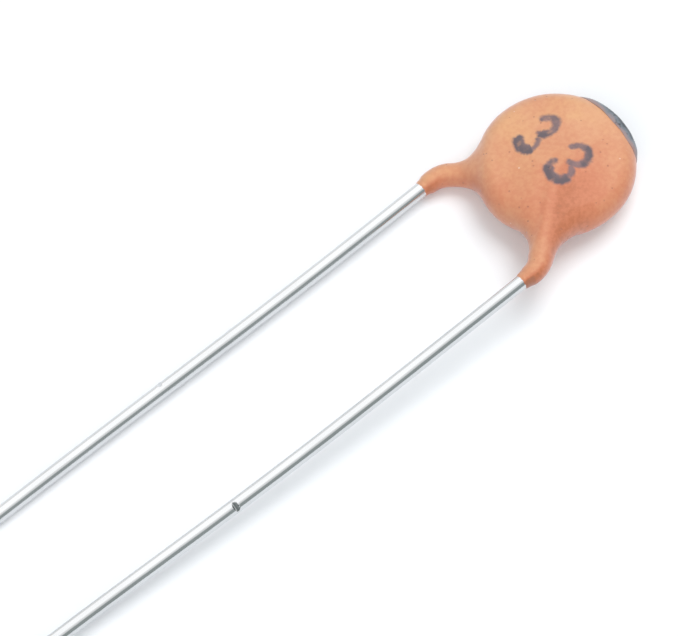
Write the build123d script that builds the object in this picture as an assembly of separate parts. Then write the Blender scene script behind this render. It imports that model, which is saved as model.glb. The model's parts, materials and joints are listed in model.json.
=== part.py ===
from build123d import *
from math import acos, asin, atan2, cos, hypot, pi, radians, sin, tan
import os

# Radial-lead ceramic disc capacitor, lying on its back as it comes to rest.
# Lengths in millimetres, angles in degrees. Z is up from the surface it lies on,
# and the leads run towards -X from the disc at the +X end.

# Ceramic blank, silvered on both faces
ceramic_diameter = 4.40
ceramic_thickness = 0.40
electrode_margin = 0.20
electrode_thickness = 0.03

# Solder beads that hold the leads on the silver
solder_film = 0.03
solder_cover = 0.05
solder_flank = 0.22
solder_inner_reach = 0.12
solder_edge_gap = 0.15

# Tinned wire leads, each bent once at its shoulder
wire_diameter = 0.50
lead_pitch = 5.25
lead_inner_gap = 0.45
disc_offset = 0.17
front_shoulder_drop = 0.54
rear_shoulder_drop = 0.39
bend_radius = 1.00
free_length = 26.0
tip_chamfer = 0.05
toe_in_angle = 0.6

# Tool nicks in the bare wires, measured from the end of the resin
front_nick_distance = 12.5
rear_nick_distance = 11.43
front_nick_depth = 0.07
rear_nick_depth = 0.04
nick_radius = 0.11
front_nick_turn = -35
rear_nick_turn = 40

# Dipped resin coating
edge_coat = 0.46
face_coat = 0.43
coat_sag = 0.06
dome_rise = 0.12
lead_coat = 0.18
front_inner_coat = 0.12
rear_inner_coat = 0.18
front_run_down = 1.25
rear_run_down = 1.03
bend_coat = 0.07
end_coat = 0.04
collar_lip = 0.03
flow_radius = 0.60

# Black paint on the rim opposite the leads
tip_paint = 0.05
tip_depth = 0.40
tip_turn = -2

cut_overrun = 1.0

# Sizes that follow from the ones above
wire_radius = wire_diameter / 2
ceramic_radius = ceramic_diameter / 2
coat_radius = ceramic_radius + edge_coat
rim_radius = ceramic_thickness / 2 + face_coat
face_height = rim_radius + dome_rise
electrode_face = ceramic_thickness / 2 + electrode_thickness
electrode_radius = ceramic_radius - electrode_margin
arm_offset = electrode_face + solder_film + wire_radius
arm_coat_radius = wire_radius + lead_coat
bend_coat_radius = wire_radius + bend_coat
end_coat_radius = wire_radius + end_coat
disc_height = arm_offset + arm_coat_radius
disc_centre = Vector(0, disc_offset, disc_height)
# The resin sagged towards the tip while the part hung by its leads
coat_centre = disc_centre + Vector(coat_sag, 0, 0)


class Side:
    """One face of the disc: the way its lead leaves it, and the points that the lead passes."""

    def __init__(self, across, up, shoulder_drop, run_down, inner_coat):
        """Work out the lead's points for a side.

        across is the sign of Y on that side and up the sign of Z of its face.
        shoulder_drop is how far below the disc the wire turns, run_down how far below it
        the resin ends, and inner_coat the cover over the wire's soldered end.
        """
        self.up = up
        self.inner_coat_radius = wire_radius + inner_coat
        height = disc_height + up * arm_offset
        lead_run = run_down - shoulder_drop + free_length
        shoulder_x = coat_centre.X - coat_radius - shoulder_drop
        self.shoulder = Vector(shoulder_x, across * lead_pitch / 2, height)
        over_centre = Vector(disc_centre.X, disc_centre.Y, height)
        self.arm = (self.shoulder - over_centre).normalized()
        self.inner = over_centre + self.arm * lead_inner_gap
        # The free lead sinks until the lower edge of its cut end meets the surface
        droop = asin(height / hypot(lead_run, wire_radius)) - atan2(wire_radius, lead_run)
        toe = radians(toe_in_angle)
        self.run = Vector(-cos(droop) * cos(toe), -across * cos(droop) * sin(toe), -sin(droop))
        self.tip = self.shoulder + self.run * lead_run
        # The bend takes this much of both straight runs
        turn = radians(self.arm.get_angle(self.run))
        tangent = bend_radius * tan(turn / 2)
        self.bend_start = self.shoulder - self.arm * tangent
        self.bend_end = self.shoulder + self.run * tangent
        self.coat_end = self.shoulder + self.run * (run_down - shoulder_drop)


front = Side(-1, 1, front_shoulder_drop, front_run_down, front_inner_coat)
rear = Side(1, -1, rear_shoulder_drop, rear_run_down, rear_inner_coat)


def lead_path(side):
    """Centre line of a lead, from its soldered end round the bend to its cut tip."""
    return FilletPolyline(side.inner, side.shoulder, side.tip, radius=bend_radius)


def across_wire(point, direction):
    """Plane square to a wire at a point, with its Y axis as near up as it can be."""
    return Plane(origin=point, x_dir=Vector(0, 0, 1).cross(direction), z_dir=direction)


def make_lead(side, nick_distance, nick_depth, nick_turn):
    """Round wire along the lead's path, with a broken edge at the tip and one tool nick."""
    lead = sweep(across_wire(side.inner, side.arm) * Circle(wire_radius), path=lead_path(side))
    tip_edge = lead.edges().sort_by(Axis.X)[0]
    lead = chamfer(tip_edge, tip_chamfer)
    place = across_wire(side.coat_end + side.run * nick_distance, side.run)
    depth = wire_radius + nick_radius - nick_depth
    tool = Rot(0, 90, 0) * Cylinder(nick_radius, wire_diameter + cut_overrun)
    return lead - place * Rot(0, 0, nick_turn) * Pos(0, depth, 0) * tool


def make_electrode(side):
    """Fired silver film on one face of the ceramic."""
    film = Cylinder(electrode_radius, electrode_thickness)
    return Pos(disc_centre) * Pos(0, 0, side.up * (electrode_face - electrode_thickness / 2)) * film


def make_solder(side, lead):
    """Rounded bead that lies along the wire on the silver, with the wire's own place cut out."""
    height = solder_film + wire_diameter + solder_cover
    half_width = wire_radius + solder_flank
    start = lead_inner_gap - solder_inner_reach
    length = electrode_radius - solder_edge_gap - start
    outward = Vector(0, 0, side.up)
    seat = disc_centre + outward * electrode_face
    bead_plane = Plane(origin=seat + side.arm * start, x_dir=outward.cross(side.arm), z_dir=side.arm)
    bead_radius = (half_width**2 + height**2) / (2 * height)
    section = Pos(0, height - bead_radius) * Circle(bead_radius)
    section &= Pos(0, height / 2) * Rectangle(2 * bead_radius + cut_overrun, height)
    bead = extrude(bead_plane * section, length)
    outline_plane = Plane(origin=seat + side.arm * (start + length / 2), x_dir=side.arm, z_dir=outward)
    outline = SlotOverall(length, 2 * half_width)
    bead &= extrude(outline_plane * outline, height + cut_overrun)
    return bead - lead


def disc_form(grow):
    """Lens-edged disc: two shallow domes joined by a round rim, grown outwards by a film."""
    rim_centre = coat_radius - rim_radius
    dome_radius = (rim_centre**2 + face_height**2 - rim_radius**2) / (2 * dome_rise)
    dome_centre = face_height - dome_radius
    lean = atan2(rim_centre, -dome_centre)
    reach = dome_radius + grow
    crown = (0, face_height + grow)
    mid_dome = (reach * sin(lean / 2), dome_centre + reach * cos(lean / 2))
    shoulder = (reach * sin(lean), dome_centre + reach * cos(lean))
    outline = Curve() + [
        ThreePointArc(crown, mid_dome, shoulder),
        ThreePointArc(shoulder, (coat_radius + grow, 0), (shoulder[0], -shoulder[1])),
        ThreePointArc((shoulder[0], -shoulder[1]), (mid_dome[0], -mid_dome[1]), (0, -crown[1])),
        Line((0, -crown[1]), crown),
    ]
    return Pos(coat_centre) * revolve(Plane.XZ * make_face(outline), Axis.Z)


def arm_form(side):
    """Round-ended ridge of resin over the soldered end of a lead, out to where the wire bends."""
    length = (side.bend_start - side.inner).length
    round_end = side.inner_coat_radius
    # The flank leaves the round end smoothly and is as wide as the sleeve where the wire bends
    lean = acos(round_end / hypot(arm_coat_radius, length)) - atan2(length, arm_coat_radius)
    touch = (round_end * cos(lean), -round_end * sin(lean))
    half_way = (lean + pi / 2) / 2
    half_section = Curve() + [
        ThreePointArc((0, -round_end), (round_end * cos(half_way), -round_end * sin(half_way)), touch),
        Polyline(touch, (arm_coat_radius, length), (0, length), (0, -round_end)),
    ]
    ridge = revolve(Plane.XZ * make_face(half_section), Axis.Z)
    return across_wire(side.inner, side.arm) * ridge


def run_down_form(side):
    """Resin that has run down the lead: a sleeve tapered round the bend, then a rounded collar."""
    bend = lead_path(side).edges()[1]
    sections = [
        across_wire(side.bend_start, side.arm) * Circle(arm_coat_radius),
        across_wire(side.bend_end, side.run) * Circle(bend_coat_radius),
    ]
    sleeve = sweep(sections, path=bend, multisection=True)
    length = (side.coat_end - side.bend_end).length
    corners = [(0, 0), (bend_coat_radius, 0), (end_coat_radius, length), (0, length)]
    half_section = Polygon(*corners, align=None)
    lip = half_section.vertices().sort_by(Axis.Y)[-2:].sort_by(Axis.X)[-1]
    half_section = chamfer(lip, collar_lip)
    collar = revolve(Plane.XZ * half_section, Axis.Z)
    return sleeve + across_wire(side.bend_end, side.run) * collar


def make_coating(core):
    """One dip of resin over everything but the free leads."""
    disc = disc_form(0)
    arms = [arm_form(front), arm_form(rear)]
    body = disc + arms
    seams = new_edges(disc, *arms, combined=body)
    body = fillet(seams, flow_radius)
    return body + [run_down_form(front), run_down_form(rear)] - core


def make_tip():
    """Coat of black paint on the end of the rim."""
    film = disc_form(tip_paint) - disc_form(0)
    span = coat_radius + cut_overrun
    beyond = Pos(coat_radius - tip_depth + span / 2, 0, 0) * Box(span, 2 * span, 2 * span)
    return film & Pos(coat_centre) * Rot(0, 0, tip_turn) * beyond


ceramic_disc = Pos(disc_centre) * Cylinder(ceramic_radius, ceramic_thickness)
front_electrode = make_electrode(front)
rear_electrode = make_electrode(rear)
front_lead = make_lead(front, front_nick_distance, front_nick_depth, front_nick_turn)
rear_lead = make_lead(rear, rear_nick_distance, rear_nick_depth, rear_nick_turn)
front_solder = make_solder(front, front_lead)
rear_solder = make_solder(rear, rear_lead)
core = [
    ceramic_disc, front_electrode, rear_electrode,
    front_solder, rear_solder, front_lead, rear_lead,
]
resin_coating = make_coating(core)
black_tip = make_tip()

nodes = {
    "ceramic_disc": ceramic_disc,
    "front_electrode": front_electrode,
    "rear_electrode": rear_electrode,
    "front_solder": front_solder,
    "rear_solder": rear_solder,
    "front_lead": front_lead,
    "rear_lead": rear_lead,
    "resin_coating": resin_coating,
    "black_tip": black_tip,
}

# The origin stands on the surface, under the middle of the whole length
back_end = min(lead.bounding_box().min.X for lead in (front_lead, rear_lead))
front_end = black_tip.bounding_box().max.X
to_origin = Pos(-(back_end + front_end) / 2, 0, 0)

os.makedirs("parts", exist_ok=True)
for name, solid in nodes.items():
    export_step(to_origin * solid, f"parts/{name}.step")
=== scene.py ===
"""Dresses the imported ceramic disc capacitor: dipped resin, printed value, painted rim and tinned leads."""

from __future__ import annotations

import json
import logging
import math
from dataclasses import dataclass, field
from enum import Enum
from functools import reduce
from typing import Any

import bmesh
import bpy
import numpy as np
from mathutils import Matrix, Vector, noise

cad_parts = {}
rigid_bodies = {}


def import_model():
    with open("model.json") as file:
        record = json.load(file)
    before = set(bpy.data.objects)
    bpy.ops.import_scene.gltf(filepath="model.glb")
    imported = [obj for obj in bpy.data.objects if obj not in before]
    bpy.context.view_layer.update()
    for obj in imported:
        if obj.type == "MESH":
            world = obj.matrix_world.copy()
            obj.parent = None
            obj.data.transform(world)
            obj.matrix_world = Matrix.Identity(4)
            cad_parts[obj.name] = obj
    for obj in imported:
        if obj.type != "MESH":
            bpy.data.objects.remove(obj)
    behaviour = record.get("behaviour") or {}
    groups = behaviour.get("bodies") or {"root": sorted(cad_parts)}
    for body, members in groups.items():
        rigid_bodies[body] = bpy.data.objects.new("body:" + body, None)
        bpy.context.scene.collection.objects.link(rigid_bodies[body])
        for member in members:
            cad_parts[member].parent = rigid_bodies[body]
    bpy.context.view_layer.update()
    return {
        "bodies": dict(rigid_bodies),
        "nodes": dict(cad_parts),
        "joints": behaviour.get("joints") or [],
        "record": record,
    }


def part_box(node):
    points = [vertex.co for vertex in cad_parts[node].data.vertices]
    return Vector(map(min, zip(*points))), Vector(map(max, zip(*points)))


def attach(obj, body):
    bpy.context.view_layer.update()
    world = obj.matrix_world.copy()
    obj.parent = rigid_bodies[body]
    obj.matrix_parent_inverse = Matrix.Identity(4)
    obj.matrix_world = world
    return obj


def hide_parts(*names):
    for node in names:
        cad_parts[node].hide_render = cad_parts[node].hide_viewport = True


log = logging.getLogger("capacitor")

MM = 0.001
"""One millimetre in metres: sizes below are in millimetres unless they say otherwise."""
TINY = 1e-9
"""Keeps a length that something is divided by from being 0."""

Colour = tuple[float, float, float]

PAINT_DEPTH = "paint_depth"
"""Attribute of the paint's mesh: how far in from the paint's edge a point lies, in millimetres."""
FLANK_SHADE = "painted_flank_shade"
# Attribute of the coat's mesh: how much painted shade lies there, on the legs' lower flanks and beside the
# ridges.
"""Attribute of the coat's mesh: how much resin gathered there while it dried."""
NICK_SHADE = "painted_nick_shade"
# Attribute of a wire's mesh: how much painted shade lies in its tool mark.
"""Attribute of a wire's mesh: how much dirt a tool left there."""


class Side(Enum):
    """The two leads, named for the face of the disc that each is soldered to."""

    FRONT = "front"
    REAR = "rear"


def per_side(front: Any, rear: Any) -> Any:
    """A dataclass field that holds a value for each lead.

    Args:
        front: the front lead's value.
        rear: the rear lead's value.

    Returns:
        The field.
    """
    return field(default_factory=lambda: {Side.FRONT: front, Side.REAR: rear})


class Value:
    """A number that varies over a surface: a shader socket that Python's operators work on."""

    def __init__(self, graph: Graph, socket: bpy.types.NodeSocket) -> None:
        """Wrap an output socket of a graph."""
        self.graph = graph
        self.socket = socket

    def _math(self, operation: str, *terms: Any) -> Value:
        """Add a Math node.

        Args:
            operation: the Math node's operation.
            terms: numbers or values, in the order of the node's inputs.

        Returns:
            The node's result.
        """
        made = self.graph.node("ShaderNodeMath", {"operation": operation}, dict(enumerate(terms)))
        return Value(self.graph, made.outputs[0])

    def __add__(self, other: Any) -> Value:
        """Sum of two values."""
        return self._math("ADD", self, other)

    def __radd__(self, other: Any) -> Value:
        """Sum with a number in front."""
        return self._math("ADD", other, self)

    def __sub__(self, other: Any) -> Value:
        """Difference of two values."""
        return self._math("SUBTRACT", self, other)

    def __rsub__(self, other: Any) -> Value:
        """Difference from a number in front."""
        return self._math("SUBTRACT", other, self)

    def __mul__(self, other: Any) -> Value:
        """Product of two values."""
        return self._math("MULTIPLY", self, other)

    def __rmul__(self, other: Any) -> Value:
        """Product with a number in front."""
        return self._math("MULTIPLY", other, self)

    def __truediv__(self, other: Any) -> Value:
        """Quotient of two values."""
        return self._math("DIVIDE", self, other)

    def __neg__(self) -> Value:
        """The value with its sign turned."""
        return self._math("MULTIPLY", self, -1.0)

    def __abs__(self) -> Value:
        """Size of the value without its sign."""
        return self._math("ABSOLUTE", self)

    def root(self) -> Value:
        """Square root of the value."""
        return self._math("SQRT", self)

    def larger(self, other: Any) -> Value:
        """The larger of two values."""
        return self._math("MAXIMUM", self, other)

    def step(self, low: float, high: float) -> Value:
        """Soft step over the value.

        Args:
            low: where the step starts from 0.
            high: where it reaches 1; below low, the step falls instead of rising.

        Returns:
            A value from 0 to 1.
        """
        rising = high >= low
        limits = {"From Min": min(low, high), "From Max": max(low, high)}
        ends = {"To Min": 0.0 if rising else 1.0, "To Max": 1.0 if rising else 0.0}
        settings = {"interpolation_type": "SMOOTHSTEP"}
        made = self.graph.node("ShaderNodeMapRange", settings, {"Value": self, **limits, **ends})
        return Value(self.graph, made.outputs["Result"])


class Graph:
    """The nodes of one material or world, made through one method."""

    def __init__(self, tree: bpy.types.NodeTree) -> None:
        """Start from an empty node tree."""
        self.tree = tree
        tree.nodes.clear()

    def node(self, kind: str, settings: dict | None = None, inputs: dict | None = None) -> bpy.types.Node:
        """Make a node.

        Args:
            kind: the node's type.
            settings: the node's own attributes, which are set first.
            inputs: numbers, colours, values, sockets or nodes for its sockets, by name or index.

        Returns:
            The new node.
        """
        made = self.tree.nodes.new(kind)
        for name, setting in (settings or {}).items():
            setattr(made, name, setting)
        for key, given in (inputs or {}).items():
            if isinstance(given, Value):
                given = given.socket
            if isinstance(given, bpy.types.Node):
                given = given.outputs[0]
            if isinstance(given, bpy.types.NodeSocket):
                self.tree.links.new(given, made.inputs[key])
            else:
                made.inputs[key].default_value = given
        return made

    def mix(self, factor: Any, first: Any, second: Any) -> bpy.types.NodeSocket:
        """Blend two colours.

        Args:
            factor: 0 for the first colour, 1 for the second.
            first: a colour or a colour socket.
            second: a colour or a colour socket.

        Returns:
            The blended colour.
        """
        first, second = (opaque(c) if isinstance(c, tuple) else c for c in (first, second))
        made = self.node("ShaderNodeMix", {"data_type": "RGBA"}, {0: factor, 6: first, 7: second})
        return made.outputs[2]

    def noise(self, place: bpy.types.NodeSocket, per_mm: float, detail: float = 2.0) -> Value:
        """Cloudy noise over a place.

        Args:
            place: a vector socket in metres.
            per_mm: how many clouds there are in a millimetre.
            detail: octaves of finer noise.

        Returns:
            A value about one half.
        """
        inputs = {"Vector": place, "Scale": per_mm / MM, "Detail": detail}
        return Value(self, self.node("ShaderNodeTexNoise", None, inputs).outputs["Fac"])

    def specks(self, place: bpy.types.NodeSocket, per_mm: float, radius_mm: float, share: float) -> Value:
        """Scattered round specks.

        Args:
            place: a vector socket in metres.
            per_mm: how many cells there are in a millimetre, each with room for one speck.
            radius_mm: radius of a speck.
            share: share of the cells that hold one.

        Returns:
            1 in the specks and 0 between them.
        """
        core, blur = 0.4, 0.01
        cells = self.node("ShaderNodeTexVoronoi", None, {"Vector": place, "Scale": per_mm / MM})
        edge = radius_mm * per_mm
        spot = Value(self, cells.outputs["Distance"]).step(edge, core * edge)
        draw, _, _ = self.parts(cells.outputs["Color"])
        return spot * draw.step(share + blur, share - blur)

    def parts(self, vector: bpy.types.NodeSocket) -> tuple[Value, Value, Value]:
        """The three numbers of a vector."""
        made = self.node("ShaderNodeSeparateXYZ", None, {0: vector})
        return tuple(Value(self, s) for s in made.outputs)

    def bump(self, height: Value, depth_mm: float, strength: float = 1.0) -> bpy.types.NodeSocket:
        """Normal of a surface that a height roughens.

        Args:
            height: the height, from 0 to 1.
            depth_mm: how deep a height of 1 is.
            strength: share of the effect.

        Returns:
            The new normal.
        """
        inputs = {"Height": height, "Distance": depth_mm * MM, "Strength": strength}
        return self.node("ShaderNodeBump", None, inputs).outputs["Normal"]

    def place(self) -> bpy.types.NodeSocket:
        """Object coordinates, which are the row's frame in metres."""
        return self.node("ShaderNodeTexCoord").outputs["Object"]

    def attribute(self, name: str) -> Value:
        """A number that the mesh holds for each of its points."""
        return Value(self, self.node("ShaderNodeAttribute", {"attribute_name": name}).outputs["Fac"])

    def surface(self, shader: bpy.types.Node, target: str = "ShaderNodeOutputMaterial") -> None:
        """Link a shader to the output."""
        self.node(target, None, {"Surface": shader})


def opaque(colour: Colour) -> tuple[float, float, float, float]:
    """A colour with full alpha."""
    return (*colour, 1.0)


def new_material(name: str) -> tuple[bpy.types.Material, Graph]:
    """A material and its empty graph.

    Args:
        name: the material's name.

    Returns:
        The material and the graph to fill.
    """
    material = bpy.data.materials.new(name)
    material.use_nodes = True
    return material, Graph(material.node_tree)


@dataclass(frozen=True)
class Bowl:
    """One open bowl of a printed figure: an arc of ink with round ends, thick where the stamp pressed."""

    across: float
    """Middle of the bowl along the reading direction."""
    up: float
    """Middle of the bowl along the figure's height."""
    radius: float
    arc: tuple[float, float]
    """Where the stroke starts and ends, in degrees to the left from the reading direction."""
    ends: tuple[float, float]
    """Radius of the stroke's two ends."""
    thick_arc: tuple[float, float]
    """Direction and half-angle of the thick stretch, in degrees."""
    thick_stroke: float
    """Half the width of the stroke where the stamp ran thick."""
    half_stroke: float = 0.12
    tall: float = 1.0
    """How many times taller than wide the bowl is."""
    soft: float = 0.065
    """Width over which an edge of the ink fades."""
    arc_soft: float = 0.12
    """Share of a turn's cosine over which an end of an arc fades."""
    outer: tuple[float, float] = (-1.6, 0.3)
    """Where the thick ink starts and is full, outwards from the stroke's middle in thick strokes."""

    def within(self, right: Value, top: Value, middle: float, half_angle: float) -> Value:
        """Whether a direction lies in an arc.

        Args:
            right: the direction's share along the reading direction.
            top: its share along the figure's height.
            middle: direction of the arc's middle, in degrees.
            half_angle: half the arc's angle, in degrees.

        Returns:
            1 inside the arc and 0 outside, with soft ends.
        """
        turn, edge = math.radians(middle), math.cos(math.radians(half_angle))
        facing = right * math.cos(turn) + top * math.sin(turn)
        return facing.step(edge - self.arc_soft, edge + self.arc_soft)

    def mask(self, across: Value, up: Value, ragged: Value) -> tuple[Value, Value]:
        """Ink of the bowl.

        Args:
            across: place along the reading direction, in millimetres from the disc's middle.
            up: place along the figure's height.
            ragged: unevenness of the stroke's edge, in millimetres.

        Returns:
            The stroke, 1 on it and 0 off it, and the outer half of its thick stretch.
        """
        right, top = across - self.across, (up - self.up) / self.tall
        reach = (right * right + top * top).root()
        right, top = right / reach, top / reach
        thick = self.within(right, top, *self.thick_arc)
        half = self.half_stroke + (self.thick_stroke - self.half_stroke) * thick + ragged
        start, end = self.arc
        along = self.within(right, top, (start + end) / 2, abs(end - start) / 2)
        stroke = (half - abs(reach - self.radius)).step(-self.soft, self.soft) * along
        for angle, radius in zip(self.arc, self.ends):
            turn = math.radians(angle)
            aside = across - (self.across + self.radius * math.cos(turn))
            above = up - (self.up + self.tall * self.radius * math.sin(turn))
            away = (aside * aside + above * above).root()
            stroke = stroke.larger((radius + ragged - away).step(-self.soft, self.soft))
        outer = (reach - self.radius).step(*(turn * self.thick_stroke for turn in self.outer))
        return stroke, stroke * outer * thick


@dataclass(frozen=True)
class ResinFinish:
    """Dip-coated phenolic resin: satin orange with faint mottling, painted shade, pits and a blotchy printed
    value.
    """

    centre: Vector
    """Middle of the disc, in metres."""
    lit: Colour = (0.705, 0.342, 0.182)
    gold: Colour = (0.725, 0.376, 0.178)
    # Deeper orange, for random mottling and for painted shade.
    deep: Colour = (0.595, 0.203, 0.100)
    # Darkest orange: painted shade, where it is strongest.
    deepest_shade: Colour = (0.470, 0.145, 0.060)
    # Painted shadow: dark brown at the ends of the legs, where the painted shade is deepest.
    painted_shadow: Colour = (0.31, 0.13, 0.075)
    pit: Colour = (0.34, 0.12, 0.07)
    dust: Colour = (0.86, 0.72, 0.60)
    ink_thin: Colour = (0.165, 0.108, 0.122)
    ink_thick: Colour = (0.075, 0.058, 0.074)
    roughness: float = 0.36
    bloom: float = 0.50
    """Weight of the faint waxy bloom that pales the edges."""
    bloom_roughness: float = 0.42
    bloom_tint: Colour = (0.92, 0.88, 1.0)
    painted_shade_turn: float = 243.0
    # Direction from the disc's middle towards which the colour deepens as painted shade, in degrees.
    """Direction from the disc's middle in which the resin lies thicker and deeper in colour, in degrees."""
    painted_shade: tuple[float, float] = (-1.5, 2.1)
    """Where that starts and where it is full, along that direction."""
    legs: tuple[float, float] = (-2.2, -3.0)
    # Where the legs, which take less of the painted shade, take over, along X from the disc's middle.
    """Where the thinner and paler resin of the legs takes over, along X from the disc's middle."""
    legs_loss: float = 0.45
    # How much of the painted shade the legs lack.
    """How much of the pool the legs lack."""
    painted_shade_share: float = 0.65
    # How much of the depth of colour the painted shade gives: the mottling gives the rest.
    """How much of the depth of colour the pool gives: the mottling gives the rest."""
    grain: float = 0.30
    flank_shade_share: float = 0.50
    # How much the painted shade on the legs' lower flanks and beside the ridges adds to the depth.
    """How much the resin that gathered beside the legs adds to the depth."""
    gold_share: float = 0.7
    gold_loss: float = 0.6
    # How much less of the golden tone the painted shade has.
    """How much less of the golden tone the pool has."""
    deepest_shade_from: tuple[float, float] = (0.95, 1.60)
    # Depths at which the deepest painted shade starts and is full.
    """Depths at which the deepest colour starts and is full."""
    painted_shadow_from: tuple[float, float] = (1.45, 1.80)
    # Depths at which the painted shadow starts and is full.
    """Depths at which the stain starts and is full."""
    painted_shadow_share: float = 0.6
    pit_share: float = 0.50
    pit_depth: float = 0.5
    dust_share: float = 0.6
    fine_peel: float = 0.2
    """Share of the finer waves in the skin."""
    rough_spread: float = 0.10
    ink_gloss: float = 0.06
    """How much smoother the ink is than the resin."""
    ink_cover: tuple[float, float] = (0.88, 0.98)
    """How much of the resin thin and thick ink hide."""
    ink_blotch: float = 0.7
    ink_heavy: float = 0.95
    ink_wear: float = 0.32
    """How much of the ink is rubbed off where it is worn."""
    smear: float = 0.12
    """How far the stamp smeared the figures' lines."""
    fray: float = 0.10
    """How far the edges of the strokes fray."""
    printed_from: tuple[float, float] = (0.40, 0.55)
    """Heights above the disc's middle at which the print starts and is full."""
    bowls: tuple[Bowl, ...] = (
        Bowl(-1.03, 0.50, 0.29, (168.0, -78.0), (0.11, 0.11), (-45.0, 35.0), 0.15, tall=1.28),
        Bowl(-0.97, -0.33, 0.315, (55.0, -155.0), (0.10, 0.13), (262.0, 78.0), 0.20, 0.08, 1.05),
        Bowl(0.51, 0.50, 0.37, (168.0, -84.0), (0.11, 0.11), (40.0, 60.0), 0.14, tall=1.08),
        Bowl(0.565, -0.31, 0.385, (58.0, -196.0), (0.11, 0.10), (285.0, 78.0), 0.19, 0.125, 0.97),
    )
    """The upper and the lower bowl of each figure three."""

    def material(self) -> bpy.types.Material:
        """Build the material."""
        material, graph = new_material("dipped_resin")
        place = graph.place()
        x, y, z = graph.parts(place)
        ink, heavy = self.ink(graph, place, x, y, z)
        right, back = (x - self.centre.x) / MM, (y - self.centre.y) / MM
        # Painted shade: the colour deepens towards one side of the disc, less on the legs.
        turn = math.radians(self.painted_shade_turn)
        painted_shade = (right * math.cos(turn) + back * math.sin(turn)).step(*self.painted_shade)
        painted_shade = painted_shade * (1.0 - self.legs_loss * right.step(*self.legs))
        mottle = (1.0 - self.painted_shade_share) * graph.noise(place, 0.8, 4.0).step(0.30, 0.70)
        grain = self.grain * (graph.noise(place, 7.0, 3.0).step(0.30, 0.70) - 0.5)
        # Painted shade on the legs' lower flanks and beside the ridges.
        flank_shade = self.flank_shade_share * graph.attribute(FLANK_SHADE)
        # Depth of colour: random mottling and grain, plus painted shade.
        depth = mottle + self.painted_shade_share * painted_shade + grain + flank_shade
        golden = graph.noise(place, 0.9, 5.0).step(0.42, 0.66) * (1.0 - self.gold_loss * painted_shade)
        colour = graph.mix(depth, graph.mix(self.gold_share * golden, self.lit, self.gold), self.deep)
        # Painted shade at its strongest, then painted shadow at the legs' ends.
        colour = graph.mix(depth.step(*self.deepest_shade_from), colour, self.deepest_shade)
        colour = graph.mix(self.painted_shadow_share * depth.step(*self.painted_shadow_from), colour, self.painted_shadow)
        pits = graph.specks(place, per_mm=3.4, radius_mm=0.045, share=0.55)
        colour = graph.mix(self.pit_share * pits, colour, self.pit)
        dust = graph.specks(place, per_mm=2.2, radius_mm=0.036, share=0.15)
        colour = graph.mix(self.dust_share * dust, colour, self.dust)
        blotch = self.ink_blotch * graph.noise(place, 3.0, 3.0).step(0.36, 0.66)
        thickness = blotch.larger(self.ink_heavy * heavy)
        thin_cover, thick_cover = self.ink_cover
        cover = thin_cover + (thick_cover - thin_cover) * thickness
        colour = graph.mix(ink * cover, colour, graph.mix(thickness, self.ink_thin, self.ink_thick))
        fine = self.fine_peel
        peel = (1.0 - fine) * graph.noise(place, 2.2, 1.0) + fine * graph.noise(place, 9.0)
        rough = self.roughness + self.rough_spread * graph.noise(place, 6.0) - self.ink_gloss * ink
        graph.surface(graph.node("ShaderNodeBsdfPrincipled", None, {
            "Base Color": colour,
            "Roughness": rough,
            "Specular IOR Level": 0.6,
            "Sheen Weight": self.bloom,
            "Sheen Roughness": self.bloom_roughness,
            "Sheen Tint": opaque(self.bloom_tint),
            "Normal": graph.bump(peel - self.pit_depth * pits, depth_mm=0.035, strength=0.6),
        }))
        return material

    def ink(
        self, graph: Graph, place: bpy.types.NodeSocket, x: Value, y: Value, z: Value,
    ) -> tuple[Value, Value]:
        """Mask of the printed value on the upper face.

        Args:
            graph: the material's graph.
            place: Object coordinates.
            x: first coordinate in metres.
            y: second coordinate in metres.
            z: third coordinate in metres.

        Returns:
            The inked resin, and the part of it where the ink lies thick.
        """
        across = (self.centre.y - y) / MM + self.smear * (graph.noise(place, 3.1) - 0.5)
        up = (x - self.centre.x) / MM + self.smear * (graph.noise(place, 2.7) - 0.5)
        ragged = self.fray * (graph.noise(place, 6.5, 3.0) - 0.5)
        masks = [bowl.mask(across, up, ragged) for bowl in self.bowls]
        strokes, heavy = (reduce(Value.larger, group) for group in zip(*masks))
        kept = graph.noise(place, 3.5, 3.0).step(0.28, 0.48)
        face = ((z - self.centre.z) / MM).step(*self.printed_from)
        return strokes * face * (1.0 - self.ink_wear + self.ink_wear * kept), heavy


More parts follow.
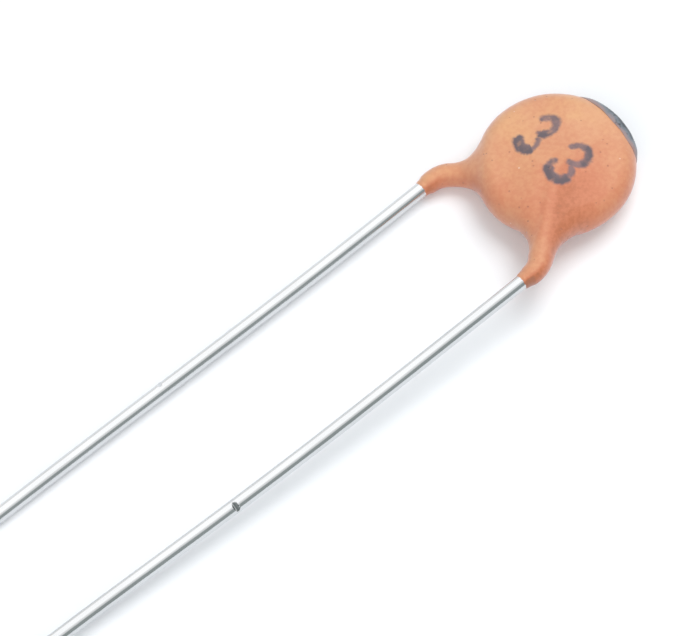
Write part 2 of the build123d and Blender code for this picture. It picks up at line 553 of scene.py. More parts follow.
@dataclass(frozen=True)
class PaintFinish:
    """Glossy black marking paint, a little thin and grey where it was dabbed on."""

    thick: Colour = (0.085, 0.120, 0.150)
    thin: Colour = (0.258, 0.265, 0.292)
    # Resin seen through the thin paint at its edge, lightened as a painted highlight.
    resin_and_highlight: Colour = (0.385, 0.260, 0.245)
    full: Colour = (0.012, 0.022, 0.030)
    fleck: Colour = (0.020, 0.022, 0.028)
    gloss_tint: Colour = (0.76, 0.94, 1.0)
    roughness: float = 0.24
    thin_width: float = 0.36
    """How far from its edge the paint is thin, in millimetres."""
    resin_and_highlight_width: float = 0.12
    # How far from its edge the resin shows through and a painted highlight lightens the edge.
    """How far from its edge the resin shows through."""
    full_depth: tuple[float, float] = (0.13, 0.25)
    """Where it starts to cover the rim fully, and where it does."""
    dabs: float = 0.25
    """How far the dabs move all these."""
    fleck_share: float = 0.7
    resin_and_highlight_share: float = 0.9
    rough_spread: float = 0.16

    def material(self) -> bpy.types.Material:
        """Build the material."""
        material, graph = new_material("rim_paint")
        place = graph.place()
        depth = graph.attribute(PAINT_DEPTH) + self.dabs * (graph.noise(place, 2.4, 3.0) - 0.5)
        colour = graph.mix(depth.step(self.thin_width, 0.0), self.thick, self.thin)
        flecks = graph.noise(place, 5.0, 3.0).step(0.56, 0.68)
        colour = graph.mix(self.fleck_share * flecks, colour, self.fleck)
        colour = graph.mix(depth.step(*self.full_depth), colour, self.full)
        # Resin showing through at the edge, with a painted highlight along it.
        colour = graph.mix(self.resin_and_highlight_share * depth.step(self.resin_and_highlight_width, 0.0), colour, self.resin_and_highlight)
        graph.surface(graph.node("ShaderNodeBsdfPrincipled", None, {
            "Base Color": colour,
            "Roughness": self.roughness + self.rough_spread * graph.noise(place, 7.0),
            "Specular IOR Level": 0.15,
            "Specular Tint": opaque(self.gloss_tint),
            "Normal": graph.bump(graph.noise(place, 4.0), depth_mm=0.02, strength=0.5),
        }))
        return material


@dataclass(frozen=True)
class MetalFinish:
    """Bare metal with fine marks that may run along the length of a drawn wire."""

    name: str
    bright: Colour
    dull: Colour
    roughness: float
    grain_per_mm: float
    stretch: float = 1.0
    """How many times longer the marks are along X than across it."""
    depth_mm: float = 0.004
    rough_spread: float = 0.08
    nick_shade: Colour | None = None
    # Colour of the painted shade in its tool marks, if its mesh has any.
    """Colour of the dirt in its tool marks, if its mesh has any."""

    def material(self) -> bpy.types.Material:
        """Build the material."""
        material, graph = new_material(self.name)
        place = graph.place()
        squeeze = {"Vector": place, "Scale": (1.0 / self.stretch, 1.0, 1.0)}
        along = graph.node("ShaderNodeMapping", None, squeeze).outputs[0]
        marks = graph.noise(along, self.grain_per_mm, 3.0)
        tarnish = graph.noise(place, 0.5, 3.0).step(0.35, 0.75)
        colour = graph.mix(tarnish * marks, self.bright, self.dull)
        if self.nick_shade:
            # Painted shade in the tool mark.
            colour = graph.mix(graph.attribute(NICK_SHADE), colour, self.nick_shade)
        graph.surface(graph.node("ShaderNodeBsdfPrincipled", None, {
            "Base Color": colour,
            "Metallic": 1.0,
            "Roughness": self.roughness + self.rough_spread * marks,
            "Normal": graph.bump(marks, self.depth_mm, strength=0.5),
        }))
        return material


@dataclass(frozen=True)
class CeramicFinish:
    """Fired titanate: tan, dry and slightly mottled."""

    pale: Colour = (0.74, 0.62, 0.46)
    dark: Colour = (0.60, 0.47, 0.32)
    roughness: float = 0.65
    rough_spread: float = 0.2

    def material(self) -> bpy.types.Material:
        """Build the material."""
        material, graph = new_material("fired_ceramic")
        place = graph.place()
        cloud = graph.noise(place, 3.0, 4.0)
        graph.surface(graph.node("ShaderNodeBsdfPrincipled", None, {
            "Base Color": graph.mix(cloud.step(0.3, 0.7), self.pale, self.dark),
            "Roughness": self.roughness + self.rough_spread * cloud,
            "Normal": graph.bump(graph.noise(place, 12.0), depth_mm=0.006, strength=0.6),
        }))
        return material


@dataclass
class LeadRoute:
    """Centre line of one lead: straight along the face, round one bend, then straight to the cut tip."""

    side: Side
    disc_centre: Vector
    """Middle of the disc, in millimetres."""
    pin: dict[str, Any]
    """The record's pin mount on the bare wire."""
    shoulder_reach: dict[Side, float] = per_side(3.14, 2.99)
    """How far the lead turns from the disc's middle, along the leads."""
    inner_gap: float = 0.45
    bend_radius: float = 1.00
    bare_length: float = 26.0
    inner: Vector = field(init=False)
    shoulder: Vector = field(init=False)
    tip: Vector = field(init=False)
    coat_end: Vector = field(init=False)
    arm: Vector = field(init=False)
    run: Vector = field(init=False)
    turn: float = field(init=False)
    tangent: float = field(init=False)

    def __post_init__(self) -> None:
        """Work out the route's points from the pin."""
        middle = Vector(self.pin["pos_m"]) / MM
        self.run = Vector(self.pin["axis"]).normalized()
        self.tip = middle + self.run * self.bare_length / 2
        self.coat_end = middle - self.run * self.bare_length / 2
        back = (middle.x - (self.disc_centre.x - self.shoulder_reach[self.side])) / self.run.x
        self.shoulder = middle - self.run * back
        over_centre = Vector((self.disc_centre.x, self.disc_centre.y, self.shoulder.z))
        self.arm = (self.shoulder - over_centre).normalized()
        self.inner = over_centre + self.arm * self.inner_gap
        self.turn = self.arm.angle(self.run)
        self.tangent = self.bend_radius * math.tan(self.turn / 2)

    @property
    def bend_start(self) -> Vector:
        """Where the wire starts to bend."""
        return self.shoulder - self.arm * self.tangent

    @property
    def bend_end(self) -> Vector:
        """Where the bend ends."""
        return self.shoulder + self.run * self.tangent

    @property
    def bend_axis(self) -> Vector:
        """Axis that the wire turns about in its bend."""
        return self.arm.cross(self.run).normalized()

    @property
    def bend_centre(self) -> Vector:
        """Middle of the bend's circle."""
        return self.bend_start + self.bend_axis.cross(self.arm) * self.bend_radius

    def bend_points(self, count: int) -> list[Vector]:
        """Points round the bend.

        Args:
            count: how many steps the bend is cut into.

        Returns:
            The points, from the bend's start to its end.
        """
        spoke = self.bend_start - self.bend_centre
        turns = [Matrix.Rotation(self.turn * i / count, 3, self.bend_axis) for i in range(count + 1)]
        return [self.bend_centre + turn @ spoke for turn in turns]


def ring_edges(made: dict[str, list], key: str = "geom") -> list[bmesh.types.BMEdge]:
    """The edges that an operator returned."""
    return [g for g in made[key] if isinstance(g, bmesh.types.BMEdge)]


class WireSweep:
    """Sweeps a round section along a lead's route with extrude and spin."""

    def __init__(self, mesh: bmesh.types.BMesh, route: LeadRoute, radius: float, sides: int) -> None:
        """Start with a capped ring at the soldered end of the route.

        Args:
            mesh: the mesh to build in, in millimetres.
            route: the line to follow.
            radius: radius of the section.
            sides: how many sides the section has.
        """
        self.mesh = mesh
        self.route = route
        facing = route.arm.to_track_quat("Z", "Y").to_matrix().to_4x4()
        place = Matrix.Translation(route.inner) @ facing
        start = bmesh.ops.create_circle(mesh, cap_ends=True, segments=sides, radius=radius, matrix=place)
        self.ring = list({edge for vert in start["verts"] for edge in vert.link_edges})

    def forward(self, step: Vector) -> None:
        """Extrude the ring by a step."""
        made = bmesh.ops.extrude_edge_only(self.mesh, edges=self.ring)
        verts = [g for g in made["geom"] if isinstance(g, bmesh.types.BMVert)]
        bmesh.ops.translate(self.mesh, verts=verts, vec=step)
        moved = set(verts)
        self.ring = [e for e in ring_edges(made) if moved.issuperset(e.verts)]

    def bend(self, steps: int) -> None:
        """Spin the ring round the bend."""
        route = self.route
        made = bmesh.ops.spin(
            self.mesh, geom=self.ring, cent=route.bend_centre, axis=route.bend_axis,
            angle=route.turn, steps=steps, use_merge=False, use_duplicate=False,
        )
        self.ring = ring_edges(made, "geom_last")

    def close(self) -> bmesh.types.BMFace:
        """Cap the open end."""
        return bmesh.ops.contextual_create(self.mesh, geom=self.ring)["faces"][0]


@dataclass
class Nick:
    """A tool mark across a bare wire."""

    distance: float
    """How far it is from the end of the resin."""
    depth: float
    turn: float
    """Turn about the wire from straight up, in degrees."""
    nick_shade: float
    # How much painted shade lies on the side of it towards the disc.
    """How much dirt the tool left on the side of it towards the disc."""
    radius: float = 0.11
    lip: float = 0.012
    """Height of the lips that the tool raised beside it."""
    lip_place: float = 0.8
    """How far from its middle a lip stands, in radii."""
    lip_width: float = 0.35
    lip_fade: int = 4
    """How fast a lip fades round the wire."""

    def press(self, mesh: bmesh.types.BMesh, route: LeadRoute, wire_radius: float) -> None:
        """Press the mark into a wire.

        Args:
            mesh: the wire.
            route: the line of the wire.
            wire_radius: radius of the wire.
        """
        layer = mesh.verts.layers.float.new(NICK_SHADE)
        middle = route.coat_end + route.run * self.distance
        level = Vector((0, 0, 1)).cross(route.run).normalized()
        upright = route.run.cross(level).normalized()
        out = Matrix.Rotation(math.radians(self.turn), 3, route.run) @ upright
        floor_height = wire_radius - self.depth + self.radius
        for vert in mesh.verts:
            along = (vert.co - middle).dot(route.run)
            height = (vert.co - middle).dot(out)
            if abs(along) < self.radius:
                limit = floor_height - math.sqrt(self.radius**2 - along**2)
                if height > limit:
                    vert.co -= out * (height - limit)
                    # Painted shade in the pressed part of the mark.
                    vert[layer] = self.nick_shade * (1.0 - along / self.radius) / 2
                    continue
            ridge = math.exp(-(((abs(along) / self.radius - self.lip_place) / self.lip_width) ** 2))
            if height > 0:
                vert.co += out * self.lip * ridge * (height / wire_radius) ** self.lip_fade


@dataclass
class TinnedLead:
    """A tinned wire lead with the slight waves that handling leaves in it."""

    route: LeadRoute
    nick: Nick
    bows: tuple[float, ...]
    """How far the wire is bowed sideways in one, two, three and more half waves along its bare length."""
    wire_radius: float = 0.25
    sides: int = 40
    bend_steps: int = 14
    straight_step: float = 0.20
    fine_step: float = 0.022
    fine_span: float = 1.6
    """How far the fine steps reach either side of the nick, in its radii."""
    tip_break: float = 0.05

    def stations(self) -> list[float]:
        """Distances along the straight run at which the wire has a ring, closer together at the nick."""
        length = (self.route.tip - self.route.bend_end).length
        nick_at = (self.route.coat_end - self.route.bend_end).length + self.nick.distance
        span = self.fine_span * self.nick.radius
        coarse = np.linspace(0.0, length, round(length / self.straight_step) + 1)[1:]
        fine = np.arange(nick_at - span, nick_at + span, self.fine_step)
        return sorted([*coarse[np.abs(coarse - nick_at) > span + self.fine_step], *fine])

    def build(self) -> bpy.types.Object:
        """Model the lead in place of its CAD node."""
        mesh = bmesh.new()
        route = self.route
        sweep = WireSweep(mesh, route, self.wire_radius, self.sides)
        sweep.forward(route.bend_start - route.inner)
        sweep.bend(self.bend_steps)
        at = 0.0
        for station in self.stations():
            sweep.forward(route.run * (station - at))
            at = station
        cap = sweep.close()
        bmesh.ops.recalc_face_normals(mesh, faces=mesh.faces)
        bmesh.ops.bevel(
            mesh, geom=list(cap.edges), offset=self.tip_break, offset_type="OFFSET",
            affect="EDGES", segments=3, profile=0.5, material=-1,
        )
        self.nick.press(mesh, route, self.wire_radius)
        for vert in mesh.verts:
            vert.co += self.sway((vert.co - route.coat_end).dot(route.run))
        return finished(mesh, f"{route.side.value}_tinned_wire")

    def sway(self, distance: float) -> Vector:
        """Sideways bow of the wire.

        Args:
            distance: how far along the bare wire, below 0 inside the resin.

        Returns:
            The shift, nothing at either end of the bare wire.
        """
        share = min(max(distance / self.route.bare_length, 0.0), 1.0)
        waves = [bow * math.sin((i + 1) * math.pi * share) for i, bow in enumerate(self.bows)]
        return Vector((0.0, sum(waves), 0.0))


def linked(name: str, data: bpy.types.ID) -> bpy.types.Object:
    """Make an object of some data and put it in the scene.

    Args:
        name: the new object's name.
        data: its mesh, lamp or camera.

    Returns:
        The object.
    """
    made = bpy.data.objects.new(name, data)
    bpy.context.scene.collection.objects.link(made)
    return made


def to_object(mesh: bmesh.types.BMesh, name: str) -> bpy.types.Object:
    """Turn a bmesh into an object.

    Args:
        mesh: the bmesh, which is freed.
        name: the new object's name.

    Returns:
        The object, at the origin.
    """
    data = bpy.data.meshes.new(name)
    mesh.to_mesh(data)
    mesh.free()
    return linked(name, data)


def finished(mesh: bmesh.types.BMesh, name: str, crease_degrees: float = 38.0) -> bpy.types.Object:
    """Turn a bmesh in millimetres into a smooth object in metres.

    Args:
        mesh: the bmesh, which is freed.
        name: the new object's name.
        crease_degrees: edges that turn more than this stay sharp.

    Returns:
        The object, at the origin.
    """
    bmesh.ops.scale(mesh, vec=(MM, MM, MM), verts=mesh.verts)
    crease = math.radians(crease_degrees)
    for edge in mesh.edges:
        edge.smooth = len(edge.link_faces) != 2 or edge.calc_face_angle() < crease
    for face in mesh.faces:
        face.smooth = True
    return to_object(mesh, name)


@dataclass
class DippedCoat:
    """The resin dip: a round-rimmed lens with ridges over both wires that flow out along the leads."""

    centre: Vector
    """Middle of the disc, in millimetres."""
    routes: tuple[LeadRoute, LeadRoute]
    sag: tuple[float, float] = (0.046, -0.004)
    """How far the resin sagged along X and Y while it hung by its leads."""
    disc_radius: float = 2.636
    web: float = 0.13
    """Resin that stayed between the legs, beyond the round outline."""
    web_angle: float = 32.0
    rim_radius: float = 0.63
    dome_rise: float = 0.12
    ridge_radii: dict[Side, tuple[float, float]] = per_side((0.32, 0.42), (0.32, 0.395))
    """Radius of the resin over each wire, at its soldered end and where its bend starts."""
    bend_radius: float = 0.355
    """Radius of the resin where its bend ends."""
    bend_steps: int = 10
    astray: dict[Side, tuple[float, float]] = per_side((-0.016, 0.014), (0.034, 0.039))
    """How far along X and Y the resin's middle lies from the wire's where its bend starts."""
    end_radius: float = 0.29
    end_lap: float = 0.14
    """Length over which the resin thins out on the bare wire."""
    end_slope: float = 0.6
    end_overrun: float = 0.10
    flows: dict[Side, tuple[float, float]] = per_side((1.60, 1.33), (0.98, 1.00))
    """How widely the resin fills the corners of the disc with each leg, outside and between the legs."""
    flow_turn: float = 3.0
    """How fast the first of these turns into the second round a leg."""
    face_flow: dict[Side, float] = per_side(0.27, 0.60)
    """How widely it melts the crests of the ridges into the faces."""
    voxel: float = 0.05
    peel: float = 0.010
    """Height of the slow waves that the drip leaves in the surface."""
    peel_size: float = 1.1
    ripple: float = 0.35
    """Height and length of the finer waves, as a share of the slow ones."""
    table_gap: float = 0.002
    """How far the lowest resin stays above the table."""
    low_side: tuple[float, float, float] = (0.0, -0.90, -0.43)
    # The way that a leg's flank faces where the painted shade lies.
    """The way that a leg's flank faces where the resin gathered while it dried."""
    low_turn: tuple[float, float] = (-0.20, 0.25)
    # How far a flank faces that way where the painted shade starts and is full.
    """How far a flank faces that way where the gathered resin starts and is full."""
    low_on_disc: float = 1.20
    """How much of it lies along the ridges on the disc, against the free legs."""
    low_reach: float = 0.30
    """How far from the disc that changes to what the free legs have."""
    valley_reach: float = 1.60
    # How far from a leg or ridge the painted shade reaches.
    """How far from a leg or ridge the gathered resin reaches."""
    end_shade: dict[Side, float] = per_side(2.60, 1.30)
    # How much more painted shade lies at the end of each leg.
    """How much more of it hung at the end of each leg."""
    end_shade_reach: float = 0.90

    @property
    def face_height(self) -> float:
        """Height of the crown of a dome above the disc's middle."""
        return self.rim_radius + self.dome_rise

    def lens(self, place: np.ndarray) -> tuple[np.ndarray, np.ndarray]:
        """Distance from the lens.

        Args:
            place: points in millimetres from the disc's middle, one a row.

        Returns:
            The signed distances, and the unit directions away from the lens.
        """
        place = place - np.array([*self.sag, 0.0])
        reach = np.maximum(np.hypot(place[:, 0], place[:, 1]), TINY)
        height = np.abs(place[:, 2])
        from_web = np.degrees(np.arctan2(place[:, 1], -place[:, 0])) / self.web_angle
        rim_centre = self.disc_radius - self.rim_radius + self.web * np.exp(-(from_web**2))
        dome_radius = (rim_centre**2 + self.face_height**2 - self.rim_radius**2) / (2 * self.dome_rise)
        dome_centre = self.face_height - dome_radius
        on_dome = reach * -dome_centre < rim_centre * (height - dome_centre)
        middle = np.where(on_dome, 0.0, rim_centre)
        level = np.where(on_dome, dome_centre, 0.0)
        radius = np.where(on_dome, dome_radius, self.rim_radius)
        out, up = reach - middle, height - level
        length = np.maximum(np.hypot(out, up), TINY)
        outward = place[:, :2] / reach[:, None] * (out / length)[:, None]
        upward = np.sign(place[:, 2]) * up / length
        return length - radius, np.column_stack([outward, upward])

    def leg(self, place: np.ndarray, route: LeadRoute) -> tuple[np.ndarray, np.ndarray]:
        """Distance from the resin over one wire.

        Args:
            place: points in millimetres from the disc's middle, one a row.
            route: the wire's line.

        Returns:
            The signed distances, and the unit directions away from the wire.
        """
        bend = route.bend_points(self.bend_steps)
        end = route.coat_end + route.run * self.end_overrun
        lap = end - route.run * self.end_lap
        points = np.array([route.inner, *bend, lap, end]) - np.array(self.centre)
        fading = np.linspace(1.0, 0.0, len(bend))
        points[1 : 1 + len(bend), :2] += np.outer(fading, self.astray[route.side])
        inner_radius, outer_radius = self.ridge_radii[route.side]
        tapered = np.linspace(outer_radius, self.bend_radius, len(bend))
        edge_radius = self.end_radius - self.end_slope * self.end_lap
        radii = np.array([inner_radius, *tapered, self.end_radius, edge_radius])
        best = np.full(len(place), np.inf)
        away = np.zeros_like(place)
        for start, end, first, last in zip(points[:-1], points[1:], radii[:-1], radii[1:]):
            span = end - start
            share = np.clip((place - start) @ span / (span @ span), 0.0, 1.0)
            spoke = place - start - share[:, None] * span
            length = np.maximum(np.linalg.norm(spoke, axis=1), TINY)
            gap = length - (first + (last - first) * share)
            nearer = gap < best
            best[nearer] = gap[nearer]
            away[nearer] = (spoke / length[:, None])[nearer]
        return best, away

    def distance(self, place: np.ndarray) -> np.ndarray:
        """Signed distance from the whole coat, with the resin's flow in the corners.

        Args:
            place: points in millimetres from the disc's middle, one a row.

        Returns:
            The distances, below 0 inside.
        """
        gap, out = self.lens(place)
        for route in self.routes:
            leg_gap, leg_out = self.leg(place, route)
            corner = np.clip(1.0 - np.sum(out * leg_out, axis=1), 0.0, 1.0)
            outside, between = self.flows[route.side]
            outer_side = 0.5 + 0.5 * np.tanh(self.flow_turn * leg_out[:, 1] * np.sign(route.arm.y))
            corner_flow = between + (outside - between) * outer_side
            face_flow = self.face_flow[route.side]
            turned = corner**2 * (3.0 - 2.0 * corner)
            gap = soft_least(gap, leg_gap, face_flow + (corner_flow - face_flow) * turned)
        return gap

    def flank_shade(self, place: np.ndarray) -> np.ndarray:
        """How much painted shade lies on the lower flanks of the legs and beside the ridges.

        Args:
            place: points in millimetres from the disc's middle, one a row.

        Returns:
            A share for each point, 1 on the flank of a free leg and more at its end.
        """
        most = np.zeros(len(place))
        start, full = self.low_turn
        for route in self.routes:
            gap, out = self.leg(place, route)
            near = np.clip(1.0 - gap / self.valley_reach, 0.0, 1.0)
            facing = np.clip((out @ np.array(self.low_side) - start) / (full - start), 0.0, 1.0)
            end_gap = np.linalg.norm(place - np.array(route.coat_end - self.centre), axis=1)
            # Painted shade: more of it towards the end of each leg.
            end_shaded = self.end_shade[route.side] * np.clip(1.0 - end_gap / self.end_shade_reach, 0.0, 1.0)
            most = np.maximum(most, near * facing * (1.0 + end_shaded))
        beyond = np.clip(self.lens(place)[0] / self.low_reach, 0.0, 1.0)
        return most * (self.low_on_disc + (1.0 - self.low_on_disc) * beyond)

    def slope(self, place: np.ndarray) -> np.ndarray:
        """Unit direction away from the coat at each point."""
        step = 1e-3
        rises = [self.distance(place + axis) - self.distance(place - axis) for axis in np.eye(3) * step]
        slope = np.column_stack(rises)
        return slope / np.maximum(np.linalg.norm(slope, axis=1), TINY)[:, None]

    def seed(self) -> bpy.types.Mesh:
        """Rough closed shape of the coat: a spun lens and two swept legs, melted into one mesh."""
        mesh = bmesh.new()
        half = [self.face_height * Vector((0, 0, 1))]
        for lean in np.radians([70.0, 35.0, 0.0, -35.0, -70.0]):
            spoke = Vector((math.cos(lean), 0, math.sin(lean))) * self.rim_radius
            half.append(Vector((self.disc_radius - self.rim_radius, 0, 0)) + spoke)
        half.append(-half[0])
        verts = [mesh.verts.new(point) for point in half]
        edges = [mesh.edges.new(pair) for pair in zip(verts[:-1], verts[1:])]
        bmesh.ops.spin(
            mesh, geom=verts + edges, cent=(0, 0, 0), axis=(0, 0, 1), angle=2 * math.pi,
            steps=64, use_merge=True, use_duplicate=False,
        )
        bmesh.ops.remove_doubles(mesh, verts=mesh.verts, dist=1e-5)
        bmesh.ops.translate(mesh, verts=mesh.verts, vec=self.centre + Vector((*self.sag, 0)))
        for route in self.routes:
            sweep = WireSweep(mesh, route, self.bend_radius, sides=24)
            sweep.forward(route.bend_start - route.inner)
            sweep.bend(steps=8)
            sweep.forward(route.coat_end - route.bend_end)
            sweep.close()
        bmesh.ops.recalc_face_normals(mesh, faces=mesh.faces)
        rough = to_object(mesh, "coat_seed")
        melt = rough.modifiers.new("melt", "REMESH")
        melt.mode = "VOXEL"
        melt.voxel_size = self.voxel
        graph = bpy.context.evaluated_depsgraph_get()
        melted = bpy.data.meshes.new_from_object(rough.evaluated_get(graph))
        bpy.data.objects.remove(rough)
        return melted

    def settle(self, mesh: bmesh.types.BMesh, rounds: int = 6, pulls: int = 3) -> None:
        """Move a seed's vertices onto the coat's surface, evenly spread.

        Args:
            mesh: the seed, in millimetres.
            rounds: how often it is smoothed and put back on the surface.
            pulls: how many steps each vertex takes back.
        """
        centre = np.array(self.centre)
        for turn in range(rounds):
            if turn:
                bmesh.ops.smooth_vert(
                    mesh, verts=mesh.verts, factor=0.5, use_axis_x=True, use_axis_y=True, use_axis_z=True,
                )
            place = np.array([vert.co for vert in mesh.verts]) - centre
            for _ in range(pulls):
                place -= self.distance(place)[:, None] * self.slope(place)
            for vert, point in zip(mesh.verts, place + centre):
                vert.co = point

    def roll(self, mesh: bmesh.types.BMesh) -> None:
        """Lay the slow waves of the dip on the surface, and keep it off the table."""
        mesh.normal_update()
        for vert in mesh.verts:
            wave = noise.noise(vert.co / self.peel_size)
            wave += self.ripple * noise.noise(vert.co / (self.ripple * self.peel_size))
            vert.co += vert.normal * self.peel * wave
            vert.co.z = max(vert.co.z, self.table_gap)

    def build(self) -> bpy.types.Object:
        """Model the coat in place of its CAD node."""
        mesh = bmesh.new()
        seed = self.seed()
        mesh.from_mesh(seed)
        bpy.data.meshes.remove(seed)
        self.settle(mesh)
        # Painted shade, stored for the material: lower flanks of the legs and beside the ridges.
        layer = mesh.verts.layers.float.new(FLANK_SHADE)
        place = np.array([vert.co for vert in mesh.verts]) - np.array(self.centre)
        for vert, share in zip(mesh.verts, self.flank_shade(place)):
            vert[layer] = share
        self.roll(mesh)
        bmesh.ops.recalc_face_normals(mesh, faces=mesh.faces)
        return finished(mesh, "dipped_resin_coat", crease_degrees=75.0)


def soft_least(first: np.ndarray, second: np.ndarray, width: Any) -> np.ndarray:
    """The lesser of two distances, rounded where they are alike.

    Args:
        first: distances from one shape.
        second: distances from another.
        width: how much the two may differ and still be rounded together.

    Returns:
        The distances from both shapes, flowed together.
    """
    share = np.clip(0.5 + 0.5 * (second - first) / width, 0.0, 1.0)
    return second + (first - second) * share - width * share * (1.0 - share)


@dataclass
class PaintedRim:
    """Skin of black paint over the end of the rim opposite the leads."""

    coat: bpy.types.Object
    centre: Vector
    """Middle of the disc, in millimetres."""
    reach: float = 2.322
    """How far from the disc's middle the paint starts."""
    turn: float = -2.0
    """Turn of the paint's edge about the disc, in degrees."""
    thickness: float = 0.075
    sunk: float = 0.03
    edge_width: float = 0.20
    """How far in from its edge the paint reaches its thickness."""
    edge_height: float = 0.15
    """Share of its thickness that it has at the edge."""
    edge_wave: float = 0.035
    wave_reach: float = 0.40
    """How far in from the edge its waves fade out."""
    wave_per_mm: float = 2.3
    edge_bow: float = 0.062
    """How much further the paint reaches at its ends, for each square millimetre aside."""

    def bow(self, mesh: bmesh.types.BMesh, out: Vector, amount: float) -> None:
        """Bend a mesh along the paint's direction, so that a straight cut through it becomes a curved one.

        Args:
            mesh: the mesh, in millimetres.
            out: the way that the paint faces.
            amount: shift for each square millimetre aside, below 0 to bend it back.
        """
        aside = out.cross(Vector((0, 0, 1)))
        for vert in mesh.verts:
            vert.co += out * amount * (vert.co - self.centre).dot(aside) ** 2

    def build(self) -> bpy.types.Object:
        """Model the paint in place of its CAD node."""
        mesh = bmesh.new()
        mesh.from_mesh(self.coat.data)
        bmesh.ops.scale(mesh, vec=(1 / MM,) * 3, verts=mesh.verts)
        out = Vector((math.cos(math.radians(self.turn)), math.sin(math.radians(self.turn)), 0))
        self.bow(mesh, out, self.edge_bow)
        everything = [*mesh.verts, *mesh.edges, *mesh.faces]
        bmesh.ops.bisect_plane(
            mesh, geom=everything, dist=1e-6, plane_co=self.centre + out * self.reach, plane_no=out,
            clear_inner=True, clear_outer=False,
        )
        depth = mesh.verts.layers.float.new(PAINT_DEPTH)
        for vert in mesh.verts:
            vert[depth] = (vert.co - self.centre).dot(out) - self.reach
        self.bow(mesh, out, -self.edge_bow)
        mesh.normal_update()
        for vert in mesh.verts:
            share = min(max(vert[depth] / self.edge_width, 0.0), 1.0)
            rise = self.edge_height + (1.0 - self.edge_height) * share * (2.0 - share)
            vert.co += vert.normal * self.thickness * rise
            share = min(max(1.0 - vert[depth] / self.wave_reach, 0.0), 1.0)
            vert.co += out * self.edge_wave * share * noise.noise(vert.co * self.wave_per_mm)
        bmesh.ops.recalc_face_normals(mesh, faces=mesh.faces)
        bmesh.ops.solidify(mesh, geom=mesh.faces[:], thickness=self.thickness + self.sunk)
        bmesh.ops.recalc_face_normals(mesh, faces=mesh.faces)
        return finished(mesh, "painted_rim", crease_degrees=60.0)


@dataclass
class PhotoCamera:
    """A long lens that sees the part as the photograph does."""

    target: Vector
    """Middle of the disc, in metres."""
    azimuth: float = -41.05
    elevation: float = 59.8
    distance: float = 0.6
    """From the lens to the disc, in metres."""
    image_size: tuple[float, float] = (678.0, 636.0)
    target_pixel: tuple[float, float] = (555.3, 166.05)
    pixels_per_mm: float = 30.5

    def build(self) -> None:
        """Make the camera and give it to the scene."""
        turn, rise = math.radians(self.azimuth), math.radians(self.elevation)
        flat = Vector((math.sin(turn), -math.cos(turn), 0)) * math.cos(rise)
        back = flat + Vector((0, 0, math.sin(rise)))
        facing = (-back).to_track_quat("-Z", "Y")
        right, up = facing @ Vector((1, 0, 0)), facing @ Vector((0, 1, 0))
        pixel = MM / self.pixels_per_mm
        aside = (self.target_pixel[0] - self.image_size[0] / 2) * pixel
        above = (self.image_size[1] / 2 - self.target_pixel[1]) * pixel
        data = bpy.data.cameras.new("photo_camera")
        data.lens = data.sensor_width * self.distance / (self.image_size[0] * pixel)
        data.clip_start, data.clip_end = 0.01, 10.0
        camera = linked("photo_camera", data)
        camera.location = self.target + back * self.distance - right * aside - up * above
        camera.rotation_mode = "QUATERNION"
        camera.rotation_quaternion = facing
        bpy.context.scene.camera = camera


@dataclass
class SoftBox:
    """A square lamp with a soft front, which nothing mirrors."""

    name: str
    towards: Vector
    """From the part to the lamp."""
    distance: float
    size: float
    watts: float

    def build(self, target: Vector) -> None:
        """Hang the lamp and aim it.

        Args:
            target: what it is aimed at, in metres.
        """
        data = bpy.data.lights.new(self.name, "AREA")
        data.shape = "SQUARE"
        data.size = self.size
        data.energy = self.watts
        lamp = linked(self.name, data)
        lamp.visible_glossy = False
        lamp.location = target + self.towards.normalized() * self.distance
        lamp.rotation_mode = "QUATERNION"
        lamp.rotation_quaternion = self.towards.to_track_quat("Z", "Y")


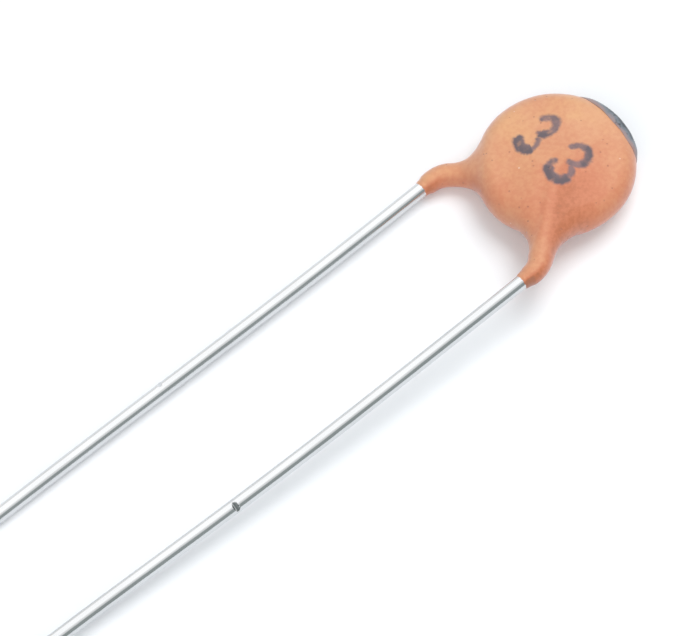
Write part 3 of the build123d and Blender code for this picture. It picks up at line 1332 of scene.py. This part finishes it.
@dataclass
class Studio:
    """White table, white surroundings and soft lamps."""

    target: Vector
    """Middle of the disc, in metres."""
    floor_half: float = 0.5
    floor_white: Colour = (0.895, 0.90, 0.92)
    floor_glow: float = 0.09
    fill: float = 0.45
    fill_colour: Colour = (0.89, 0.97, 1.0)
    dark_side: float = 0.40
    """What is left of the white on the near side of the room, which the wires mirror."""
    dark_turn: tuple[float, float] = (0.48, 0.72)
    """How far a mirrored ray goes to the near side where the dark starts and is full."""
    dark_tint: Colour = (0.90, 1.0, 0.99)
    """Cast of what is left there."""
    ceiling: Vector = field(default_factory=lambda: Vector((0.33, 0.38, 0.86)))
    """Towards the bright ceiling, which the wires mirror."""
    ceiling_turn: tuple[float, float] = (0.70, 0.90)
    """How far a mirrored ray goes towards it where it starts and is full."""
    ceiling_gain: float = 0.48

    def build(self) -> None:
        """Make the floor, the world and the lamps."""
        self.floor()
        self.world()
        key = SoftBox("key_softbox", Vector((0.45, 0.10, 0.88)), distance=0.50, size=0.36, watts=1.68)
        front = SoftBox("front_softbox", Vector((-0.64, -0.57, 0.52)), distance=0.70, size=0.90, watts=2.7)
        for lamp in (key, front):
            lamp.build(self.target)

    def seen(self, graph: Graph) -> Value:
        """1 for rays that come from the camera, a mirror or glass, else 0."""
        path = graph.node("ShaderNodeLightPath")
        names = ("Is Camera Ray", "Is Glossy Ray", "Is Transmission Ray")
        camera, glossy, clear = (Value(graph, path.outputs[name]) for name in names)
        return camera.larger(glossy).larger(clear)

    def floor(self) -> None:
        """Lay the table."""
        mesh = bmesh.new()
        bmesh.ops.create_grid(mesh, x_segments=1, y_segments=1, size=self.floor_half)
        table = to_object(mesh, "table")
        material, graph = new_material("table_white")
        matte = graph.node("ShaderNodeBsdfDiffuse", None, {"Color": opaque(self.floor_white)})
        glow = graph.node("ShaderNodeEmission", None, {"Strength": self.floor_glow * self.seen(graph)})
        graph.surface(graph.node("ShaderNodeAddShader", None, {0: matte, 1: glow}))
        table.data.materials.append(material)

    def world(self) -> None:
        """Surround the part with soft fill light, which is white where it is seen."""
        world = bpy.data.worlds.new("white_room")
        world.use_nodes = True
        bpy.context.scene.world = world
        graph = Graph(world.node_tree)
        way = graph.node("ShaderNodeTexCoord").outputs["Generated"]
        x, y, z = graph.parts(way)
        near = (-y).step(*self.dark_turn)
        above = (x * self.ceiling.x + y * self.ceiling.y + z * self.ceiling.z).step(*self.ceiling_turn)
        glossy = Value(graph, graph.node("ShaderNodeLightPath").outputs["Is Glossy Ray"])
        shown = 1.0 + glossy * (self.ceiling_gain * above - (1.0 - self.dark_side) * near)
        even = {"Color": opaque(self.fill_colour), "Strength": self.fill}
        fill = graph.node("ShaderNodeBackground", None, even)
        cast = graph.mix(glossy * near, (1.0, 1.0, 1.0), self.dark_tint)
        white = graph.node("ShaderNodeBackground", None, {"Color": cast, "Strength": shown})
        both = graph.node("ShaderNodeMixShader", None, {0: self.seen(graph), 1: fill, 2: white})
        graph.surface(both, "ShaderNodeOutputWorld")


class Capacitor:
    """The whole part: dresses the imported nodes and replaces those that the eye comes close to."""

    def __init__(self, frame: dict[str, Any]) -> None:
        """Read the places that the pieces share.
        """
        self.nodes = frame["nodes"]
        low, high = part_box("ceramic_disc")
        self.centre = (low + high) / 2
        pins = {mount["name"]: mount for mount in frame["record"]["mounts"]}
        middle = self.centre / MM
        self.routes = {side: LeadRoute(side, middle, pins[f"{side.value}_lead_pin"]) for side in Side}
        self.tin = MetalFinish(
            "tinned_wire", bright=(0.68, 0.69, 0.70), dull=(0.61, 0.62, 0.63),
            roughness=0.12, grain_per_mm=9.0, stretch=30.0, nick_shade=(0.08, 0.10, 0.10),
        )
        self.silver = MetalFinish(
            "fired_silver", bright=(0.90, 0.89, 0.86), dull=(0.74, 0.72, 0.68),
            roughness=0.38, grain_per_mm=11.0,
        )
        self.solder = MetalFinish(
            "soft_solder", bright=(0.72, 0.72, 0.73), dull=(0.55, 0.55, 0.57),
            roughness=0.26, grain_per_mm=3.0,
        )

    def stand_in(self, piece: bpy.types.Object, node: str, material: bpy.types.Material) -> None:
        """Put a modelled piece in place of a CAD node.

        Args:
            piece: the new piece.
            node: the node that it stands for.
            material: its finish.
        """
        piece.data.materials.append(material)
        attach(piece, "root")
        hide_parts(node)
        log.info("%s stands for %s: %d faces", piece.name, node, len(piece.data.polygons))

    def dress(self, node: str, material: bpy.types.Material) -> None:
        """Give a CAD node a finish."""
        for slot in self.nodes[node].material_slots:
            slot.material = material
        log.info("%s wears %s", node, material.name)

    def build(self) -> None:
        """Make and dress every piece."""
        middle = self.centre / MM
        coat = DippedCoat(middle, tuple(self.routes.values())).build()
        self.stand_in(coat, "resin_coating", ResinFinish(self.centre).material())
        rim = PaintedRim(coat, middle).build()
        self.stand_in(rim, "black_tip", PaintFinish().material())
        tin = self.tin.material()
        nicks = {
            Side.FRONT: Nick(distance=12.5, depth=0.07, turn=-35.0, nick_shade=0.95),
            Side.REAR: Nick(distance=11.43, depth=0.04, turn=40.0, nick_shade=0.1),
        }
        bows = {Side.FRONT: (-0.076, -0.066, 0.021), Side.REAR: (-0.032, -0.031, -0.015)}
        for side, route in self.routes.items():
            lead = TinnedLead(route, nicks[side], bows[side]).build()
            self.stand_in(lead, f"{side.value}_lead", tin)
        silver, solder = self.silver.material(), self.solder.material()
        self.dress("ceramic_disc", CeramicFinish().material())
        for side in Side:
            self.dress(f"{side.value}_electrode", silver)
            self.dress(f"{side.value}_solder", solder)


def main() -> None:
    """Load the frame, then build the part and its surroundings."""
    logging.basicConfig(level=logging.INFO, format="%(name)s: %(message)s")
    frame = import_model()
    part = Capacitor(frame)
    part.build()
    Studio(part.centre).build()
    PhotoCamera(part.centre).build()
    bpy.context.scene.view_settings.view_transform = "Standard"


if __name__ == "__main__":
    main()
